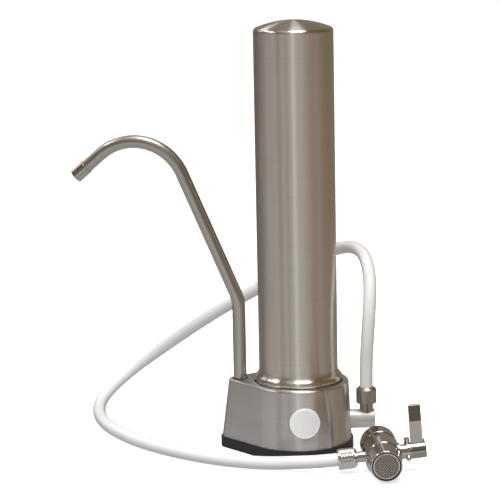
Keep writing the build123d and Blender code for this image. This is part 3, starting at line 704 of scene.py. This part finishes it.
class FILTER_OT_screen(bpy.types.Operator):
    """Add the woven screen in the diverter's outlet"""

    bl_idname = "filter.screen"
    bl_label = "Woven Screen"

    # Where the front lies from the diverter's centre, and the ring's radius, rim, depth and pocket
    front = 0.0313
    radius = 0.00975
    rim = 0.00085
    depth = 0.0010
    pocket = 0.0008
    ring_sides = 96
    wire_sides = 6
    # Planes that trim the wires to a round
    trim_planes = 40

    def execute(self, context):
        detail = context.scene.filter_detail
        clear_selection()
        ring = self.ring(context)
        wires = self.weave(context, detail.wire_pitch, detail.wire_radius)
        clear_selection()
        ring.select_set(True)
        wires.select_set(True)
        context.view_layer.objects.active = ring
        bpy.ops.object.join()
        place = DIVERTER @ Matrix.Translation((0, 0, self.front))
        settle(ring, "woven_screen", "base", place, smooth_degrees=50)
        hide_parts("aerator_screen")
        return {"FINISHED"}

    def ring(self, context):
        """The screen's bright rim, and a dark floor in its pocket that is painted shade for the hollow behind
        the wires.
        """
        bpy.ops.mesh.primitive_cylinder_add(
            vertices=self.ring_sides, radius=self.radius, depth=self.depth, location=(0, 0, -self.depth / 2))
        ring = context.object
        bpy.ops.object.transform_apply(location=True)
        paint(ring, chrome(context, "rim_chrome", rough=0.20, share=1.15))
        # The pocket's dark floor is painted shade: it stands in for the shaded hollow of the outlet, seen
        # between the wires.
        back = grained("screen_back", (0.12, 0.11, 0.10), rough=0.6, grain=1200.0, depth=0.00002)
        ring.data.materials.append(back.material)
        pick("FACE", lambda corners: all(place.z > -SAME_PLACE for place in corners))
        bpy.ops.mesh.inset(thickness=self.rim)
        extrude(-self.pocket)
        ring.active_material_index = 1
        bpy.ops.object.material_slot_assign()
        bpy.ops.object.mode_set(mode="OBJECT")
        return ring

    def weave(self, context, pitch, thick):
        """Two crossed sets of waved wires, turned 45 degrees and trimmed to a round."""
        wires = self.waved_wires(context, pitch, thick)
        pick_all()
        bpy.ops.mesh.duplicate()
        turn_about_z(90)
        bpy.ops.mesh.select_all(action="SELECT")
        turn_about_z(45)
        # Their crowns come level with the rim
        bpy.ops.transform.translate(value=(0, 0, -2 * thick))
        for index in range(self.trim_planes):
            turn = math.tau * index / self.trim_planes
            way = Vector((math.cos(turn), math.sin(turn), 0))
            bpy.ops.mesh.select_all(action="SELECT")
            bpy.ops.mesh.bisect(plane_co=way * (self.radius - self.rim), plane_no=way, clear_outer=True)
        bpy.ops.mesh.select_all(action="SELECT")
        bpy.ops.mesh.fill_holes(sides=0)
        face_outwards()
        paint(wires, self.woven_steel())
        return wires

    def waved_wires(self, context, pitch, thick):
        """One set of wires along X, each with its waves opposite to the next one's."""
        count = 2 * math.ceil(self.radius / pitch) + 2
        first = -(count - 1) / 2 * pitch
        bpy.ops.mesh.primitive_circle_add(
            vertices=self.wire_sides, radius=thick, location=(first, first, thick),
            rotation=(0, math.radians(90), 0))
        wires = context.object
        bpy.ops.object.transform_apply(location=True, rotation=True)
        pick_all()
        for step in range(count - 1):
            extrude(2 * thick if step % 2 else -2 * thick, along=pitch)
        bpy.ops.mesh.select_all(action="SELECT")
        bpy.ops.mesh.duplicate_move(TRANSFORM_OT_translate={"value": (0, pitch, 0)})
        bpy.ops.transform.resize(value=(1, 1, -1), center_override=(0, 0, 0))
        bpy.ops.object.mode_set(mode="OBJECT")
        bpy.ops.object.modifier_add(type="ARRAY")
        rows = wires.modifiers[-1]
        rows.count = count // 2
        rows.use_relative_offset = False
        rows.use_constant_offset = True
        rows.constant_offset_displace = (0, 2 * pitch, 0)
        bpy.ops.object.modifier_apply(modifier=rows.name)
        return wires

    def woven_steel(self):
        """Pale steel wire with a cloudy gloss."""
        finish = Finish("woven_steel")
        cloud = finish.noise(scale=400.0, detail=3.0)
        return finish.set(
            base_color=finish.mix(cloud, (0.86, 0.81, 0.77), (1.0, 0.96, 0.92)),
            metallic=1.0,
            roughness=0.34 + cloud.swing(0.2))


class FILTER_OT_outlet_housing(bpy.types.Operator):
    """Add the outlet housing, with the round bead that stands out behind its taper"""

    bl_idname = "filter.outlet_housing"
    bl_label = "Outlet Housing"

    # Radii and heights, from the back round the wall and down the bore
    back = (0.00995, 0.0095)
    skirt = ((0.0131, 0.0095), (0.0131, 0.0112), (0.0124, 0.0114), (0.0124, 0.0123))
    bead_center = (0.0127, 0.0134)
    bead_radius = 0.0009
    # Degrees from the bead's outermost place, from the groove to the taper
    bead_turns = range(-80, 71, 15)
    taper_end = (0.0115, 0.0314)
    mouth = ((0.0112, 0.0318), (0.01075, 0.0318), (0.01075, 0.0185), (0.00995, 0.0185))
    sides = 128

    def execute(self, context):
        clear_selection()
        radius, height = self.back
        bpy.ops.mesh.primitive_circle_add(vertices=self.sides, radius=radius, location=(0, 0, height))
        housing = context.object
        bpy.ops.object.transform_apply(location=True)
        pick_all()
        for next_radius, next_height in self.outline():
            extrude(next_height - height)
            widen(next_radius / radius)
            radius, height = next_radius, next_height
        bpy.ops.mesh.select_all(action="SELECT")
        bpy.ops.mesh.remove_doubles(threshold=SAME_PLACE)
        face_outwards()
        paint(housing, chrome(context, "housing_chrome"))
        settle(housing, "outlet_housing", "base", DIVERTER)
        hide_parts("aerator_housing")
        return {"FINISHED"}

    def outline(self):
        """The wall's radii and heights: skirt, groove, round bead, taper, mouth and back."""
        radius, height = self.bead_center
        turns = [math.radians(turn) for turn in self.bead_turns]
        bead = [(radius + self.bead_radius * math.cos(turn), height + self.bead_radius * math.sin(turn))
                for turn in turns]
        return [*self.skirt, *bead, self.taper_end, *self.mouth, self.back]


class FILTER_OT_steelwork(bpy.types.Operator):
    """Finish the canister, the base, the spout and the inlet"""

    bl_idname = "filter.steelwork"
    bl_label = "Steelwork"

    # Noise scales of the brushed streaks, across and up, and how far they swing the roughness
    streak_scale = (12, 12, 1300)
    broad_scale = (9, 9, 260)
    wall_rough = 0.315
    streak_swing = 0.05
    broad_swing = 0.02
    # How much smoother the dome and the rim are, and the heights over which that sets in and ends
    shine = 0.10
    dome_start = (DOME_EDGE - 0.004, DOME_EDGE + 0.001)
    rim_end = (RIM_LOW + 0.006, RIM_LOW + 0.010)

    def execute(self, context):
        tones = context.scene.filter_finish
        dress(["canister"], self.brushed("canister_steel", tones.steel, polished=True))
        dress(["base_shell"], self.brushed("shell_steel", tones.shell))
        dress(["spout_tube", "canister_collar"], self.satin("spout_steel", tones.tube, rough=0.33))
        dress(["spout_tip"], self.satin("tip_steel", tones.tube, rough=0.18))
        dress(["inlet_bar"], self.satin("bar_steel", tones.bar, rough=0.44, metal=0.65))
        dress(["inlet_nipple", "hose_nut_inlet"], self.nickel(tones.nickel))
        return {"FINISHED"}

    def brushed(self, name, tone, polished=False):
        """Steel with brushed streaks that differ in gloss. A polished one shines at its dome and rim."""
        finish = Finish(name)
        streak = finish.noise(scale=1.0, detail=3.0, vector=finish.stretched(self.streak_scale))
        broad = finish.noise(scale=1.0, vector=finish.stretched(self.broad_scale))
        cloud = finish.noise(scale=30.0)
        rough = self.wall_rough + streak.swing(self.streak_swing) + broad.swing(self.broad_swing)
        if polished:
            height = finish.height()
            ends = height.between(*self.dome_start) + (1 - height.between(*self.rim_end))
            rough = rough - ends * self.shine
        tint = finish.mix(broad, shade(tone, 0.95), tone)
        tint = finish.mix(streak * 0.8, tint, shade(tone, 1.14))
        tint = finish.mix(cloud * 0.12, tint, shade(tone, 0.85))
        return finish.set(
            base_color=tint, metallic=1.0, roughness=rough, anisotropic=1.0, anisotropic_rotation=0.25,
            normal=finish.bump(streak, depth=0.000006))

    def satin(self, name, tone, rough, metal=1.0):
        """Fine satin steel. Blasted steel has less of a mirror."""
        finish = Finish(name)
        grain = finish.noise(scale=1400.0)
        cloud = finish.noise(scale=45.0, detail=3.0)
        return finish.set(
            base_color=finish.mix(cloud, shade(tone, 0.93), tone),
            metallic=metal,
            roughness=rough + grain.swing(0.04) + cloud.swing(0.04),
            normal=finish.bump(grain, depth=0.000004))

    def nickel(self, tone):
        """Dark nickel plate with a soft gloss."""
        finish = Finish("dark_nickel")
        grain = finish.noise(scale=900.0, detail=3.0)
        cloud = finish.noise(scale=120.0)
        return finish.set(
            base_color=finish.mix(cloud, shade(tone, 0.85), tone),
            metallic=1.0,
            roughness=0.34 + grain.swing(0.14),
            normal=finish.bump(grain, depth=0.000008))


class FILTER_OT_diverter(bpy.types.Operator):
    """Finish the diverter valve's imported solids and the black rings"""

    bl_idname = "filter.diverter"
    bl_label = "Diverter"

    def execute(self, context):
        dress(["diverter_body", "coupling_nut", "bonnet"], chrome(context, "chrome"))
        # The lever and its screw take a darker copy of the chrome: painted shade that tones down their
        # highlights.
        dress(["lever", "lever_screw"], chrome(context, "lever_chrome", share=0.70))
        dress(
            ["aerator_ring", "spout_bush"],
            grained("black_nylon", (0.006, 0.006, 0.006), rough=0.42, grain=1600.0, depth=0.00001,
                    specular_ior_level=0.25))
        return {"FINISHED"}


class FILTER_OT_base_trim(bpy.types.Operator):
    """Finish the foot, the badge and the pieces inside"""

    bl_idname = "filter.base_trim"
    bl_label = "Base Trim"

    # Radii between which the badge's border sets in
    border_start = (0.0098, 0.0101)

    def execute(self, context):
        tones = context.scene.filter_finish
        dress(
            ["base_foot"],
            grained("foot_black", tones.foot, rough=0.46, grain=700.0, depth=0.00004, spread=0.18,
                    specular_ior_level=0.22))
        dress(["badge"], self.pearl(tones.badge))
        dress(
            ["canister_o_ring", "cartridge_o_rings", "spout_o_rings", "spool_o_rings", "inlet_washer",
             "coupling_washer", "aerator_washer"],
            grained("rubber", (0.016, 0.016, 0.016), rough=0.62, grain=900.0, depth=0.00003))
        dress(
            ["filter_head", "cartridge_bottom_cap", "cartridge_top_cap"],
            grained("head_plastic", (0.74, 0.74, 0.72), rough=0.42, grain=500.0, depth=0.00002, spread=0.05))
        dress(
            ["carbon_block"],
            grained("pressed_carbon", (0.014, 0.014, 0.014), rough=0.85, grain=350.0, depth=0.00012))
        dress(
            ["cartridge_sleeve"],
            grained("wrap", (0.78, 0.78, 0.75), rough=0.88, grain=420.0, depth=0.00015, spread=0.06))
        dress(
            ["valve_spool", "spout_gland"],
            grained("turned_brass", (0.72, 0.55, 0.28), rough=0.26, grain=800.0, depth=0.00001, metallic=1.0))
        dress(
            ["base_screws", "spout_snap_ring", "coupling_retainer"],
            grained("plain_steel", (0.55, 0.55, 0.55), rough=0.30, grain=900.0, depth=0.00001, metallic=1.0))
        return {"FINISHED"}

    def pearl(self, tone):
        """A plain pearl plate with a fine white border."""
        finish = Finish("badge_pearl")
        apart = finish.node(
            "ShaderNodeVectorMath", {"operation": "DISTANCE"},
            {0: finish.place(), 1: tuple(BADGE_CENTER)}, output="Value")
        border = apart.between(*self.border_start)
        cloud = finish.noise(scale=220.0, detail=3.0)
        grain = finish.noise(scale=2200.0)
        face = finish.mix(cloud, shade(tone, 0.95), tone)
        return finish.set(
            base_color=finish.mix(border, face, (0.97, 0.98, 0.98)),
            roughness=0.30 - border * 0.08 + grain.swing(0.06),
            coat_weight=0.3,
            normal=finish.bump(grain, depth=0.000006))


STEPS = (
    FILTER_OT_stage,
    FILTER_OT_knurled_nut,
    FILTER_OT_hose,
    FILTER_OT_screen,
    FILTER_OT_outlet_housing,
    FILTER_OT_steelwork,
    FILTER_OT_diverter,
    FILTER_OT_base_trim,
)


class FILTER_PT_sidebar(bpy.types.Panel):
    """The filter's colours, sizes and steps"""

    bl_idname = "FILTER_PT_sidebar"
    bl_label = "Water Filter"
    bl_space_type = "VIEW_3D"
    bl_region_type = "UI"
    bl_category = "Water Filter"

    def draw(self, context):
        for group in (context.scene.filter_finish, context.scene.filter_detail, context.scene.filter_stage):
            box = self.layout.box()
            for key in group.__annotations__:
                box.prop(group, key)
        for step in STEPS:
            self.layout.operator(step.bl_idname)


GROUPS = {"filter_finish": FilterFinish, "filter_detail": FilterDetail, "filter_stage": FilterStage}


def register():
    for name, group in GROUPS.items():
        bpy.utils.register_class(group)
        setattr(bpy.types.Scene, name, bpy.props.PointerProperty(type=group))
    for kind in (*STEPS, FILTER_PT_sidebar):
        bpy.utils.register_class(kind)


def unregister():
    for kind in (FILTER_PT_sidebar, *reversed(STEPS)):
        bpy.utils.unregister_class(kind)
    for name, group in GROUPS.items():
        delattr(bpy.types.Scene, name)
        bpy.utils.unregister_class(group)


def main():
    register()
    bpy.ops.filter.stage()
    bpy.ops.filter.knurled_nut()
    bpy.ops.filter.hose()
    bpy.ops.filter.screen()
    bpy.ops.filter.outlet_housing()
    bpy.ops.filter.steelwork()
    bpy.ops.filter.diverter()
    bpy.ops.filter.base_trim()


if __name__ == "__main__":
    main()
